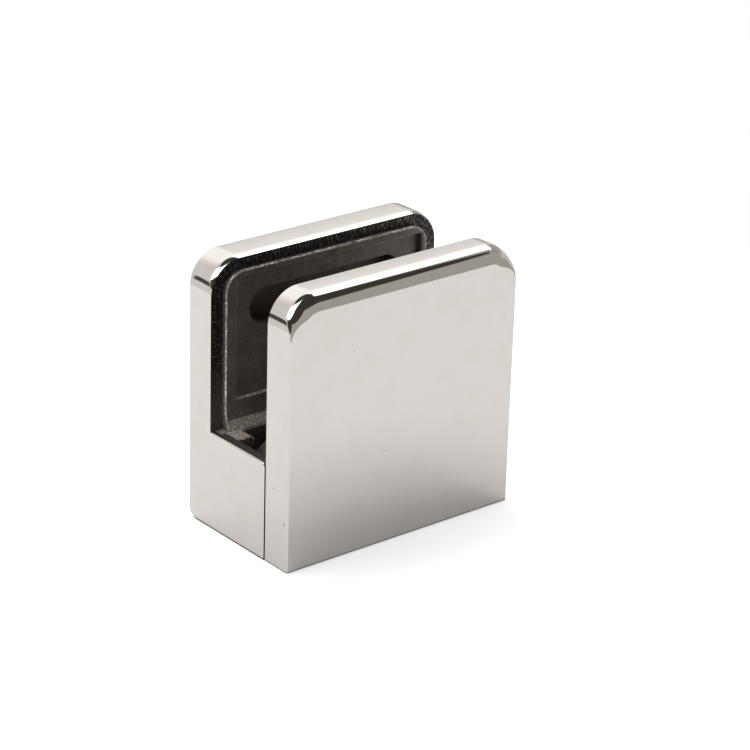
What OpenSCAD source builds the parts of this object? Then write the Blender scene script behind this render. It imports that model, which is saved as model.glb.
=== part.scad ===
// Square clamp for a glass panel, standing on its flat mounting face.
// X runs along the glass, Y from the cover face to the rear face, Z up.
// The origin is the centre of the mounting face.

/* [Overall] */
// Width of both plates along the glass
clamp_w = 52; // [50:1:80]
// Height from the mounting face to the top edge
clamp_h = 52; // [48:1:80]
// Distance between the two plates, without the pad seats
plate_gap = 16.8; // [15:0.2:24]
// Radius of the top corners of both plates
corner_r = 6.3; // [4:0.1:8]

/* [Front cover] */
// Thickness of the cover plate
cover_t = 6.5; // [5.5:0.1:9]
// Rounding along the top edge of the cover, which runs out down its sides
cover_edge_r = 2.8; // [1:0.1:3.6]
// Rounding left on the side edges of the cover
side_edge_r = 0.3; // [0.1:0.1:0.8]
// Gap between the cover and the base
parting_gap = 0.4; // [0.35:0.05:0.8]
// Height of the cover's lower edge above the mounting face
cover_lift = 0.15; // [0:0.05:0.5]

/* [Rear body] */
// Thickness of the rear plate
rear_t = 6.7; // [5.5:0.1:10]
// Rounding around the top and side edges of the rear face
rear_edge_r = 0.5; // [0.3:0.1:1.5]
// Radius of the roll along the plate's top edge, on the side of the glass
roll_r = 3; // [1:0.1:4]
// Radius of the same roll down the plate's sides
roll_side_r = 0.5; // [0.3:0.1:0.9]
// Slope at which the plate's inner face cuts the roll off, in degrees
roll_angle = 28; // [10:1:45]
// Rounding of the rear edge at the mounting face
heel_r = 2.8; // [1:0.1:4]
// Height of the hollow base under the glass
base_h = 19.2; // [18.5:0.1:24]
// Thickness of the base's floor
floor_t = 4.6; // [3:0.1:4.8]
// Thickness of the base's end walls
wall_t = 2; // [1.2:0.1:2.5]
// Rounding of the front top corner of each end wall
wall_nose_r = 1; // [0.3:0.1:2]
// Thickness of the web behind the base's pocket
web_t = 2.2; // [1.5:0.1:3]
// Rounding of the web's upper lip
lip_r = 2.2; // [1:0.1:3]
// Diameter of the fixing hole in the floor, for an M8 bolt
fixing_d = 9; // [8.4:0.1:10]

/* [Corner lugs] */
// Length of each lug from its end wall
lug_l = 3.9; // [3:0.1:5]
// Width of each lug in front of the web
lug_w = 3.6; // [2:0.1:4.5]
// Thickness of each lug
lug_t = 2.4; // [1.6:0.1:3]

/* [Pad seats] */
// Height of the pad seat above its plate
seat_rise = 1; // [0.5:0.1:1.5]
// Border between the pad seat and the plate's side edges
seat_side = 2.7; // [2:0.1:4]
// Border between the pad seat and the plate's top edge
seat_top = 2.5; // [2:0.1:4]
// Radius of the pad seat's upper corners
seat_corner_r = 4; // [2:0.1:6]
// Radius of the pad seat's lower corners on the cover
seat_foot_r = 1.5; // [0.5:0.1:3]
// Height of the cover's pad seat above the base
seat_foot = 1.8; // [1:0.1:4]
// Height of the concave ledge that runs from the web to the pad seat
ledge_h = 4.4; // [3:0.1:6]
// Border of the shallow pad recess at its left end
recess_left = 2.6; // [1.5:0.1:5]
// Border of the shallow pad recess at its right end
recess_right = 1.3; // [1:0.1:5]
// Border of the shallow pad recess at its top
recess_top = 1.8; // [1:0.1:4]
// Height from the ledge to the shallow pad recess
recess_foot = 1.3; // [0.6:0.1:4]
// Depth of the pad recess at its left end
recess_shallow = 0.5; // [0.2:0.1:1.2]
// Depth of the pad recess at its right end
recess_deep = 1.2; // [0.3:0.1:1.5]
// Length of the slot that holds the back of the pad
slot_l = 34.6; // [24:0.2:38]
// Width of the slot that holds the back of the pad
slot_w = 6.6; // [4:0.2:9]
// Depth of the slot below the pad seat
slot_depth = 4.3; // [2.6:0.1:5]
// Distance from the plate's top edge to the middle of the slot
slot_drop = 10.7; // [9:0.1:14]

/* [Clamp screws] */
// Distance from each side edge of the plates to the axis of its clamp screw
screw_inset = 10.4; // [10:0.1:11]
// Height of the clamp screws above the mounting face
screw_z = 11.4; // [11.2:0.1:12]
// Diameter of the screw's shank
screw_d = 6; // [5:0.5:6]
// Length of the screw under its head
screw_l = 16; // [13:0.5:16.5]
// Diameter of the screw's head
head_d = 10; // [9:0.1:10.4]
// Height of the screw's head
head_h = 6; // [4:0.1:6]
// Width across the flats of the hexagon socket
socket_af = 5; // [4:0.5:5]
// Depth of the hexagon socket
socket_depth = 3; // [2:0.1:4]
// Chamfer at the end of the shank and around the head
screw_chamfer = 0.5; // [0.2:0.1:0.8]

/* [Screw holes] */
// Diameter of the cover's screw bosses
boss_d = 12.4; // [10:0.1:12.6]
// Length of the screw bosses behind the cover plate
boss_l = 11.5; // [8:0.1:12]
// Rounding of the rim at the end of each boss
boss_edge_r = 0.5; // [0.2:0.1:1]
// Gap left for the bolt head and the bosses over the tip of the screw
tip_gap = 2.2; // [0.5:0.1:3]
// Radial clearance of the screw's thread in its boss
thread_clearance = 0.05; // [0.02:0.01:0.1]
// Radial clearance of the shank in the rear body
shank_clearance = 0.1; // [0.02:0.01:0.1]
// Radial clearance of the head in its counterbore
head_clearance = 0.5; // [0.2:0.1:0.8]
// Depth of the head below the rear face
head_sink = 0.3; // [0.1:0.1:1]

/* [Hidden] */
$fn = 96;

// Cut tools reach this far past the faces they open
overcut = 1;

// Stations along Y, from the cover face to the rear face
clamp_d = cover_t + plate_gap + rear_t;
cover_face_y = -clamp_d / 2;
cover_back_y = cover_face_y + cover_t;
parting_y = cover_back_y + parting_gap;
rear_face_y = clamp_d / 2;
plate_y = rear_face_y - rear_t;
web_y = plate_y - web_t;
seat_y = plate_y - seat_rise;

// Heights of the pad seat, its recess and its slot
seat_top_z = clamp_h - seat_top;
ledge_top_z = base_h + ledge_h;
recess_z = ledge_top_z + recess_foot;
recess_top_z = seat_top_z - recess_top;
slot_z = clamp_h - slot_drop;
seat_w = clamp_w - 2 * seat_side;

// The ledge is an arc that leaves the pad seat's face and falls to the web
ledge_out = seat_y - web_y;
ledge_arc_r = (ledge_h * ledge_h + ledge_out * ledge_out) / (2 * ledge_out);
ledge_arc_y = seat_y - ledge_arc_r;
// The lip's arc touches both the ledge's arc and the web's front face
lip_y = web_y + lip_r;
lip_drop = sqrt(pow(ledge_arc_r + lip_r, 2) - pow(lip_y - ledge_arc_y, 2));
lip_z = ledge_top_z - lip_drop;
lip_top_z = ledge_top_z - lip_drop * ledge_arc_r / (ledge_arc_r + lip_r);

// Screws, their seats and the cover's bosses
screw_x = clamp_w / 2 - screw_inset;
head_seat_y = rear_face_y - head_sink - head_h;
screw_tip_y = head_seat_y - screw_l;
bore_end_y = screw_tip_y - tip_gap;
boss_end_y = cover_back_y + boss_l;
bore_r = screw_d / 2 + thread_clearance;
shank_hole_r = screw_d / 2 + shank_clearance;
counterbore_r = head_d / 2 + head_clearance;

// The fixing hole is in the middle of the base's pocket
fixing_y = (parting_y + web_y) / 2;

// ---------- building blocks ----------

// Stands a flat drawing (X, Z) up as a plate from y0 back to y0 + t.
module plate_from(y0, t) {
    translate([0, y0 + t, 0])
        rotate([90, 0, 0])
            linear_extrude(t)
                children();
}

// Draws a section (Y, Z) along X from x0 over the length l.
module along_x(x0, l) {
    translate([x0, 0, 0])
        rotate([90, 0, 90])
            linear_extrude(l)
                children();
}

// Cylinder along Y from y0 to y1 at (x, z).
module rod_y(x, z, y0, y1, r) {
    translate([x, y0, z])
        rotate([-90, 0, 0])
            cylinder(h = y1 - y0, r = r);
}

// Rectangle (X, Z) centred on X, with its own radius for its upper and lower corners.
module rounded_panel(w, z0, z1, top_r, foot_r) {
    difference() {
        translate([-w / 2, z0])
            square([w, z1 - z0]);
        for (side = [0, 1])
            mirror([side, 0]) {
                corner_cut(w / 2, z1, top_r);
                translate([0, z0])
                    mirror([0, 1])
                        corner_cut(w / 2, 0, foot_r);
            }
    }
}

// What a radius takes off the corner whose point is (x, z), up and to the right.
module corner_cut(x, z, r) {
    if (r > 0)
        translate([x - r, z - r])
            difference() {
                square(r + overcut);
                circle(r);
            }
}

// Section through a plate's rim: reach outwards, thickness t, outer edge at depth 0 rounded.
module rim_section(reach, t, r) {
    difference() {
        square([reach, t]);
        translate([reach, 0])
            mirror([0, 1])
                corner_cut(0, 0, r);
    }
}

// Slab whose front edge is rounded along both sides, round both top corners and along the top.
module rounded_slab(w, h, t, r, rc) {
    translate([-(w / 2 - rc), 0, 0])
        cube([w - 2 * rc, t, h - rc]);
    translate([w / 2 - rc, 0, h - rc])
        rotate([0, -90, 0])
            linear_extrude(w - 2 * rc)
                rim_section(rc, t, r);
    for (side = [0, 1])
        mirror([side, 0, 0])
            translate([w / 2 - rc, 0, 0]) {
                linear_extrude(h - rc)
                    rim_section(rc, t, r);
                translate([0, 0, h - rc])
                    mirror([0, 1, 0])
                        rotate([90, 0, 0])
                            rotate_extrude(angle = 90)
                                rim_section(rc, t, r);
            }
}

// Plate with rounded top corners. Its front edge is rounded by edge_r along the top, and the
// rounding runs out round the corners to side_r down the sides.
module face_plate(z0, t, edge_r, side_r) {
    runout = edge_r - side_r;
    intersection() {
        plate_from(0, t)
            rounded_panel(clamp_w, z0, clamp_h, corner_r, 0);
        rounded_slab(clamp_w + 2 * runout, clamp_h, t, edge_r, corner_r + runout);
    }
}

// Slab whose back edge, at Y = t, is rolled over along the top and runs out round the corners.
module rolled_slab(t) {
    runout = roll_r - roll_side_r;
    cut_off = roll_r * (1 - sin(roll_angle));
    translate([0, t + cut_off, 0])
        mirror([0, 1, 0])
            rounded_slab(clamp_w + 2 * runout, clamp_h, t + cut_off + overcut,
                         roll_r, corner_r + runout);
}

// Shallow recess with a sloping floor and, below it, the slot that holds the pad.
// It is drawn on a seat whose face is at Y = 0 and whose metal lies towards +Y.
module pad_cut() {
    left_x = -seat_w / 2 + recess_left;
    right_x = seat_w / 2 - recess_right;
    translate([0, 0, recess_z])
        linear_extrude(recess_top_z - recess_z)
            polygon([[left_x, -overcut], [right_x, -overcut],
                     [right_x, recess_deep], [left_x, recess_shallow]]);
    for (x = [-1, 1] * (slot_l - slot_w) / 2)
        rod_y(x, slot_z, -overcut, slot_depth, slot_w / 2);
    translate([-(slot_l - slot_w) / 2, -overcut, slot_z - slot_w / 2])
        cube([slot_l - slot_w, slot_depth + overcut, slot_w]);
}

// ---------- rear body ----------

// Section (Y, Z) through the web and the concave ledge above it.
module web_section() {
    difference() {
        translate([web_y, 0])
            square([plate_y + overcut - web_y, ledge_top_z]);
        translate([ledge_arc_y, ledge_top_z])
            circle(ledge_arc_r);
        difference() {
            translate([web_y - overcut, lip_z])
                square([overcut + lip_r, lip_top_z - lip_z]);
            translate([lip_y, lip_z])
                circle(lip_r);
        }
    }
}

// Section (Y, Z) through an end wall, from the parting gap into the rear plate.
module wall_section() {
    difference() {
        translate([parting_y, 0])
            square([plate_y + overcut - parting_y, base_h]);
        mirror([1, 0])
            corner_cut(-parting_y, base_h, wall_nose_r);
    }
}

// Section (Y, Z) of everything in front of the rounded heel.
module heel_section() {
    difference() {
        translate([parting_y, 0])
            square([rear_face_y - parting_y, clamp_h]);
        mirror([0, 1])
            corner_cut(rear_face_y, 0, heel_r);
    }
}

// Bar beside an end wall, flush with its top, with a half-round inner end.
module lug() {
    end_x = clamp_w / 2 - wall_t - lug_l + lug_t / 2;
    plate_from(web_y - lug_w, lug_w + overcut) {
        translate([end_x, base_h - lug_t])
            square([clamp_w / 2 - wall_t / 2 - end_x, lug_t]);
        translate([end_x, base_h - lug_t / 2])
            circle(lug_t / 2);
    }
}

module rear_casting() {
    translate([0, rear_face_y, 0])
        mirror([0, 1, 0])
            intersection() {
                face_plate(0, rear_t, rear_edge_r, rear_edge_r);
                rolled_slab(rear_t);
            }
    // pad seat and ledge
    plate_from(seat_y, seat_rise + overcut)
        rounded_panel(seat_w, ledge_top_z - overcut, seat_top_z, seat_corner_r, 0);
    along_x(-seat_w / 2, seat_w)
        web_section();
    along_x(-clamp_w / 2 + wall_t / 2, clamp_w - wall_t)
        intersection() {
            web_section();
            square([clamp_d, 2 * base_h], center = true);
        }
    // base
    translate([-clamp_w / 2, parting_y, 0])
        cube([clamp_w, plate_y + overcut - parting_y, floor_t]);
    for (side = [0, 1])
        mirror([side, 0, 0]) {
            along_x(clamp_w / 2 - wall_t, wall_t)
                wall_section();
            lug();
        }
}

module rear_body() {
    color("gainsboro")
        difference() {
            intersection() {
                rear_casting();
                along_x(-clamp_w, 2 * clamp_w)
                    heel_section();
            }
            translate([0, seat_y, 0])
                pad_cut();
            translate([0, fixing_y, -overcut])
                cylinder(h = floor_t + 2 * overcut, d = fixing_d);
            for (x = [-1, 1] * screw_x) {
                rod_y(x, screw_z, web_y - overcut, head_seat_y + overcut, shank_hole_r);
                rod_y(x, screw_z, head_seat_y, rear_face_y + overcut, counterbore_r);
            }
        }
}

// ---------- front cover ----------

// Screw boss with a rounded rim, standing on the cover plate.
module boss(x) {
    translate([x, cover_back_y, screw_z])
        rotate([-90, 0, 0])
            rotate_extrude()
                difference() {
                    translate([0, -overcut])
                        square([boss_d / 2, boss_l + overcut]);
                    corner_cut(boss_d / 2, boss_l, boss_edge_r);
                }
}

module front_cover() {
    color("silver")
        difference() {
            union() {
                translate([0, cover_face_y, 0])
                    face_plate(cover_lift, cover_t, cover_edge_r, side_edge_r);
                plate_from(cover_back_y - overcut, seat_rise + overcut)
                    rounded_panel(seat_w, base_h + seat_foot, seat_top_z,
                                  seat_corner_r, seat_foot_r);
                for (x = [-1, 1] * screw_x)
                    boss(x);
            }
            translate([0, cover_back_y + seat_rise, 0])
                mirror([0, 1, 0])
                    pad_cut();
            for (x = [-1, 1] * screw_x)
                rod_y(x, screw_z, bore_end_y, boss_end_y + overcut, bore_r);
        }
}

// ---------- clamp screws ----------

// Socket-head screw along Y, its head towards the rear face.
module clamp_screw(x) {
    shank_r = screw_d / 2;
    head_r = head_d / 2;
    translate([x, head_seat_y, screw_z])
        rotate([-90, 0, 0])
            difference() {
                rotate_extrude()
                    polygon([[0, -screw_l], [shank_r - screw_chamfer, -screw_l],
                             [shank_r, -screw_l + screw_chamfer], [shank_r, 0],
                             [head_r, 0], [head_r, head_h - screw_chamfer],
                             [head_r - screw_chamfer, head_h], [0, head_h]]);
                translate([0, 0, head_h - socket_depth])
                    cylinder(h = socket_depth + overcut, d = socket_af / cos(30), $fn = 6);
            }
}

module clamp_screw_left() {
    color("darkgray")
        clamp_screw(-screw_x);
}

module clamp_screw_right() {
    color("darkgray")
        clamp_screw(screw_x);
}

rear_body();
front_cover();
clamp_screw_left();
clamp_screw_right();
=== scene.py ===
"""Square glass clamp of mirror-polished cast stainless, in a pale studio."""
import math

import bmesh
import bpy
from mathutils import Matrix, Vector


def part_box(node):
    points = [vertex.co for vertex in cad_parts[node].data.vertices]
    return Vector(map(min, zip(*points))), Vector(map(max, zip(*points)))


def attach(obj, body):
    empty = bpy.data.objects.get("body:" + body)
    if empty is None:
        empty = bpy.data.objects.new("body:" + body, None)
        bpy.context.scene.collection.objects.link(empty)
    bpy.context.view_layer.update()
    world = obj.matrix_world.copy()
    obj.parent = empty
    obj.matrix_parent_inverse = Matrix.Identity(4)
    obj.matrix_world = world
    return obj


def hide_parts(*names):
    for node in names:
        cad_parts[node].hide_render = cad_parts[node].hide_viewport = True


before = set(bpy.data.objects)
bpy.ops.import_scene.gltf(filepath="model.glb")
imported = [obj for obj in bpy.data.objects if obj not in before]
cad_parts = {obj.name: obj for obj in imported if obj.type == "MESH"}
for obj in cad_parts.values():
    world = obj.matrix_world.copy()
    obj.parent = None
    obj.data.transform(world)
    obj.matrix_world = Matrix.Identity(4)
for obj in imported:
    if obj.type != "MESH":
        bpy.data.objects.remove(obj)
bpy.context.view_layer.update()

MM = 0.001

# Stations of the clamp, read from the frame
COVER_LO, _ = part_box("front_cover")
REAR_LO, REAR_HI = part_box("rear_body")
SCREW_LO, SCREW_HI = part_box("clamp_screw_right")
HALF_W = REAR_HI[0]
TOP_Z = REAR_HI[2]
COVER_FACE_Y = COVER_LO[1]
REAR_FACE_Y = REAR_HI[1]
PARTING_Y = REAR_LO[1]
COVER_FOOT_Z = COVER_LO[2]
SCREW_X = (SCREW_LO[0] + SCREW_HI[0]) / 2

# Plates. Their edges are crowned. The rounding and the roll along the top grow round each corner between
# the RUN_OUT angles, of which 0 is the corner's lower end, and the side has more points on its last RAMP_H.
CORNER_R = 6.3 * MM
COVER_T = 6.5 * MM
COVER_EDGE_R = 2.8 * MM
SIDE_EDGE_R = 0.3 * MM
FACE_DROP_R = 3.2 * MM
CROWN = 0.06 * MM
ROLL_R = 3.0 * MM
ROLL_SIDE_R = 0.5 * MM
ROLL_ANGLE = math.radians(28)
RAMP_H = 3 * MM
RUN_OUT = (-14, 52)
REAR_T = 6.7 * MM
REAR_EDGE_R = 0.5 * MM
HEEL_R = 2.8 * MM
COVER_BACK_Y = COVER_FACE_Y + COVER_T
PLATE_Y = REAR_FACE_Y - REAR_T

# Hollow base
BASE_H = 19.2 * MM
FLOOR_T = 4.6 * MM
WALL_T = 2.0 * MM
WALL_NOSE_R = 1.0 * MM
WALL_RIM_R = 0.3 * MM
WALL_FRONT_R = 0.06 * MM
WEB_T = 2.2 * MM
WEB_STEP = 0.05 * MM
LIP_R = 2.2 * MM
FIXING_R = 4.5 * MM
WEB_Y = PLATE_Y - WEB_T
FIXING_Y = (PARTING_Y + WEB_Y) / 2

# Corner lugs
LUG_L = 3.9 * MM
LUG_W = 3.6 * MM
LUG_T = 2.4 * MM
LUG_RIM_R = 0.3 * MM

# Pad seats
SEAT_RISE = 1.0 * MM
SEAT_SIDE = 2.7 * MM
SEAT_TOP = 2.5 * MM
SEAT_CORNER_R = 4.0 * MM
SEAT_FOOT_R = 1.5 * MM
SEAT_FOOT = 1.8 * MM
SEAT_RIM_R = 0.35 * MM
LEDGE_H = 4.4 * MM
RECESS_LEFT = 2.6 * MM
RECESS_RIGHT = 1.3 * MM
RECESS_TOP = 1.8 * MM
RECESS_FOOT = 1.3 * MM
RECESS_SHALLOW = 0.5 * MM
RECESS_DEEP = 1.2 * MM
SLOT_L = 34.6 * MM
SLOT_W = 6.6 * MM
SLOT_DEPTH = 4.3 * MM
SLOT_DROP = 10.7 * MM
LEAD = 0.3 * MM
SLOT_LEAD = 0.6 * MM
SLOT_LEAD_DEPTH = 1.5 * MM
SEAT_W = 2 * (HALF_W - SEAT_SIDE)
SEAT_Y = PLATE_Y - SEAT_RISE
SEAT_TOP_Z = TOP_Z - SEAT_TOP
SLOT_MOUTH_Y = SEAT_Y + RECESS_DEEP
LEDGE_TOP_Z = BASE_H + LEDGE_H

# Clamp screws and what holds them
SCREW_Z = 11.4 * MM
SCREW_L = 16.0 * MM
HEAD_SINK = 0.3 * MM
HEAD_H = 6.0 * MM
HEAD_SEAT_Y = REAR_FACE_Y - HEAD_SINK - HEAD_H
BOSS_R = 6.2 * MM
BOSS_L = 11.5 * MM
BOSS_EDGE_R = 0.5 * MM
BORE_R = 3.05 * MM
SHANK_HOLE_R = 3.1 * MM
COUNTERBORE_R = 5.5 * MM
BORE_END_Y = HEAD_SEAT_Y - SCREW_L - 2.2 * MM
SHANK_R = 3.0 * MM
HEAD_R = 5.0 * MM
SCREW_CHAMFER = 0.5 * MM
TIP_CHAMFER = 0.7 * MM
NECK_DEPTH = 0.3 * MM
NECK_FROM, NECK_TO = -1.2 * MM, -0.6 * MM
JUST_UNDER_HEAD = -0.001 * MM
THREAD_PITCH = 1.0 * MM
THREAD_DEPTH = 0.5 * MM
THREAD_STEPS = 160
KNURLS = 48
KNURL_DEPTH = 0.14 * MM
KNURL_FOOT, KNURL_FULL = 0.6 * MM, 0.9 * MM
KNURL_FADE, KNURL_END = 1.1 * MM, 0.8 * MM
SOCKET_R = 2.5 * MM / math.cos(math.radians(30))
SOCKET_DEPTH = 3.0 * MM
SOCKET_LEAD = 0.4 * MM
SOCKET_LEAD_DEPTH = 0.45 * MM
SOCKET_LEAD_OUT = 0.1 * MM
SOCKET_LEAD_RISE = 0.05 * MM
DRILL_R = 2.3 * MM
DRILL_POINT = 1.2 * MM
DRILL_REACH = 0.5 * MM

# How far cutters and hidden ends reach past a surface, and how many steps a small rim takes
OVERCUT = 1.0 * MM
PAST_SIDES = 60 * MM
RIM_STEPS = 5

# Finishes: how far the polish reaches over the plates' edges, how much of the foot it leaves bare,
# how high the ledge's lip gets the painted-lit skin, and how near two faces must be to count as one
POLISH_IN = 0.7 * MM
BARE_FOOT = 0.16 * MM
LEDGE_LIP = 0.4 * MM
TOUCH = 0.01 * MM
SEAT_FLAT = 0.002 * MM


# ---------- camera ----------

def aim_camera():
    """The camera stands off to the cover's left and looks down on it."""
    azimuth, elevation = math.radians(39.23), math.radians(23.3)
    roll, distance = math.radians(-1.5), 522.6 * MM
    target = Vector((0, -0.44 * MM, 26 * MM))
    back = Vector((-math.sin(azimuth) * math.cos(elevation),
                   -math.cos(azimuth) * math.cos(elevation), math.sin(elevation)))
    side = Vector((math.cos(azimuth), -math.sin(azimuth), 0))
    up = back.cross(side)
    right = side * math.cos(roll) - up * math.sin(roll)
    up = side * math.sin(roll) + up * math.cos(roll)
    camera = bpy.data.objects.new("camera", bpy.data.cameras.new("camera"))
    camera.data.lens = 136.92
    camera.data.sensor_width = 36
    camera.data.shift_x = 0.029
    camera.data.shift_y = 0.007
    camera.data.clip_end = 20
    rotation = Matrix((right, up, back)).transposed().to_4x4()
    camera.matrix_world = Matrix.Translation(target + back * distance) @ rotation
    bpy.context.collection.objects.link(camera)
    bpy.context.scene.camera = camera


# ---------- mesh helpers ----------

def new_piece(name, mesh):
    piece = bpy.data.objects.new(name, mesh)
    bpy.context.collection.objects.link(piece)
    return piece


def mesh_from(name, verts, faces):
    """A mesh with its faces turned outwards."""
    mesh = bpy.data.meshes.new(name)
    mesh.from_pydata([tuple(v) for v in verts], [], faces)
    bm = bmesh.new()
    bm.from_mesh(mesh)
    bmesh.ops.remove_doubles(bm, verts=bm.verts, dist=1e-7)
    bmesh.ops.recalc_face_normals(bm, faces=bm.faces)
    bm.to_mesh(mesh)
    bm.free()
    return mesh


def bridge(name, first, last):
    """Closed solid between two rings of as many points."""
    n = len(first)
    faces = [list(range(n)), list(range(n, 2 * n))]
    faces += [[i, (i + 1) % n, n + (i + 1) % n, n + i] for i in range(n)]
    return mesh_from(name, first + last, faces)


def prism(name, outline, place, depth):
    """Closed prism over a flat outline of (a, b) points. place(a, b, c) gives each point in space, with c
    from 0 to depth."""
    first, last = [[place(a, b, c) for a, b in outline] for c in (0, depth)]
    return bridge(name, first, last)


def along_x(start):
    """Places a prism's (y, z) outline at X = start, with its depth along X."""
    return lambda a, b, c: (start + c, a, b)


def loft(name, rings):
    """Closed solid through rings of as many points each, with flat ends."""
    n = len(rings[0])
    verts = [point for ring in rings for point in ring]
    faces = []
    for r in range(len(rings) - 1):
        for i in range(n):
            j = (i + 1) % n
            faces.append([r * n + i, r * n + j, (r + 1) * n + j, (r + 1) * n + i])
    faces.append(list(range(n)))
    faces.append([len(verts) - n + i for i in range(n)])
    return mesh_from(name, verts, faces)


def sheet_faces(rows, row):
    """Faces of an open sheet with so many rows of row points each."""
    starts = [i * row + k for i in range(rows - 1) for k in range(row - 1)]
    return [[a, a + 1, a + row + 1, a + row] for a in starts]


def lathe_y(name, x, z, section, steps):
    """Closed solid turned about the line along Y through (x, z). section is its (y, radius) points, end
    to end."""
    verts, faces, rows = [], [], []
    for y, radius in section:
        if radius == 0:
            verts.append((x, y, z))
            rows.append([len(verts) - 1] * steps)
        else:
            first = len(verts)
            for i in range(steps):
                t = 2 * math.pi * i / steps
                verts.append((x + radius * math.sin(t), y, z + radius * math.cos(t)))
            rows.append(list(range(first, first + steps)))
    for lower, upper in zip(rows, rows[1:]):
        for i in range(steps):
            j = (i + 1) % steps
            face = [lower[i], lower[j], upper[j], upper[i]]
            face = [v for k, v in enumerate(face) if v not in face[:k]]
            if len(face) > 2:
                faces.append(face)
    return mesh_from(name, verts, faces)


def arc(centre, radius, start, end, steps):
    """Points on an arc, angles in degrees."""
    turns = [math.radians(start + (end - start) * i / steps) for i in range(steps + 1)]
    return [(centre[0] + radius * math.cos(t), centre[1] + radius * math.sin(t)) for t in turns]


def circle(centre, radius, count):
    return arc(centre, radius, 0, 360 - 360 / count, count - 1)


def rounding(inset_r, drop_r, steps):
    """Quarter of an ellipse as (inset, drop) pairs, from the side of a body to its face."""
    turns = [math.pi / 2 * k / steps for k in range(steps + 1)]
    return [(inset_r * (1 - math.cos(t)), drop_r * (1 - math.sin(t))) for t in turns]


def smoothstep(low, high, value):
    t = min(max((value - low) / (high - low), 0), 1)
    return t * t * (3 - 2 * t)


def combine(piece, others, operation):
    """Unites the piece with the other meshes or cuts them away, for good, and clears the slivers."""
    group = bpy.data.collections.new("operands")
    bpy.context.scene.collection.children.link(group)
    helpers = []
    for mesh in others:
        helper = bpy.data.objects.new("operand", mesh)
        group.objects.link(helper)
        helpers.append(helper)
    step = piece.modifiers.new("boolean", "BOOLEAN")
    step.operation = operation
    step.operand_type = "COLLECTION"
    step.collection = group
    step.solver = "EXACT"
    step.use_self = operation == "DIFFERENCE"
    graph = bpy.context.evaluated_depsgraph_get()
    mesh = bpy.data.meshes.new_from_object(piece.evaluated_get(graph))
    bm = bmesh.new()
    bm.from_mesh(mesh)
    bmesh.ops.dissolve_degenerate(bm, dist=2e-6, edges=bm.edges)
    bm.to_mesh(mesh)
    bm.free()
    piece.modifiers.clear()
    old, piece.data = piece.data, mesh
    bpy.data.meshes.remove(old)
    for helper in helpers:
        bpy.data.objects.remove(helper)
    bpy.data.collections.remove(group)


# ---------- plates ----------

def plate_outline(foot_z):
    """Outline of both plates, up the left side, over the top and down the right side. Each point is
    (x, z), the way out of the plate, and how far round the corner it lies, in degrees: below 0 on the
    sides and 90 along the top."""
    side_steps, corner_steps = 16, 60
    centre = Vector((-HALF_W + CORNER_R, TOP_Z - CORNER_R))
    ramp_z = TOP_Z - CORNER_R - RAMP_H
    left = [(Vector((-HALF_W, foot_z)), Vector((-1, 0)), -90)]
    for i in range(side_steps):
        z = ramp_z + (centre.y - ramp_z) * i / side_steps
        left.append((Vector((-HALF_W, z)), Vector((-1, 0)), math.degrees((z - centre.y) / CORNER_R)))
    for i in range(corner_steps + 1):
        turn = 90 * i / corner_steps
        out = Vector((-math.cos(math.radians(turn)), math.sin(math.radians(turn))))
        left.append((centre + CORNER_R * out, out, turn))
    right = [(Vector((-p.x, p.y)), Vector((-out.x, out.y)), turn) for p, out, turn in reversed(left)]
    return left + right


def plate_section(thick, edge, down, roll):
    """Section through a plate's edge as (inset, y) pairs, from its inner face to its outer face at y = 0.
    The rounding takes up edge of the thickness and down of the outer face. roll is the inner radius."""
    wall_steps, face_steps, roll_steps = 8, 16, 8
    roll_end = roll * math.sin(ROLL_ANGLE)
    section = [(0, thick)] if roll == 0 else []
    for k in range(roll_steps + 1 if roll else 0):
        a = ROLL_ANGLE * (1 - k / roll_steps)
        section.append((roll * (1 - math.cos(a)), thick - roll_end + roll * math.sin(a)))
    for k in range(1, wall_steps):
        section.append((0, thick - roll_end + (edge - thick + roll_end) * k / wall_steps))
    return section + rounding(down, edge, face_steps)


def plate(name, foot_z, face_y, back_y, face_r, roll_r):
    """Plate with a quarter-round along its outer face (face_y) and a shorter roll along its inner face
    (back_y). face_r is (down the sides, along the top, how far down the face it reaches there) and
    roll_r is (down the sides, along the top): both run out round the corners."""
    depth = 1 if back_y > face_y else -1
    thick = abs(back_y - face_y)
    outline = plate_outline(foot_z)
    verts = []
    for point, out, turn in outline:
        grown = smoothstep(*RUN_OUT, turn)
        edge = face_r[0] + (face_r[1] - face_r[0]) * grown
        roll = roll_r[0] + (roll_r[1] - roll_r[0]) * grown
        down = edge * face_r[2] / face_r[1]
        for inset, y in plate_section(thick, edge, down, roll):
            inset += CROWN * grown * (2 * y / thick - 1) ** 2
            verts.append((point.x - out.x * inset, face_y + depth * y, point.y - out.y * inset))
    count = len(outline)
    row = len(verts) // count
    last = (count - 1) * row
    faces = sheet_faces(count, row)
    faces.append([i * row for i in range(count)])
    faces.append([i * row + row - 1 for i in range(count)])
    faces.append(list(range(row)) + [last + k for k in reversed(range(row))])
    return mesh_from(name, verts, faces)


# ---------- pad seats ----------

def rounded_box_outline(half_w, z0, z1, top_r, foot_r, steps=16):
    points = arc((half_w - top_r, z1 - top_r), top_r, 0, 90, steps)
    points += arc((-half_w + top_r, z1 - top_r), top_r, 90, 180, steps)
    if foot_r > 0:
        points += arc((-half_w + foot_r, z0 + foot_r), foot_r, 180, 270, steps)
        points += arc((half_w - foot_r, z0 + foot_r), foot_r, 270, 360, steps)
    else:
        points += [(-half_w, z0), (half_w, z0)]
    return points


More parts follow.
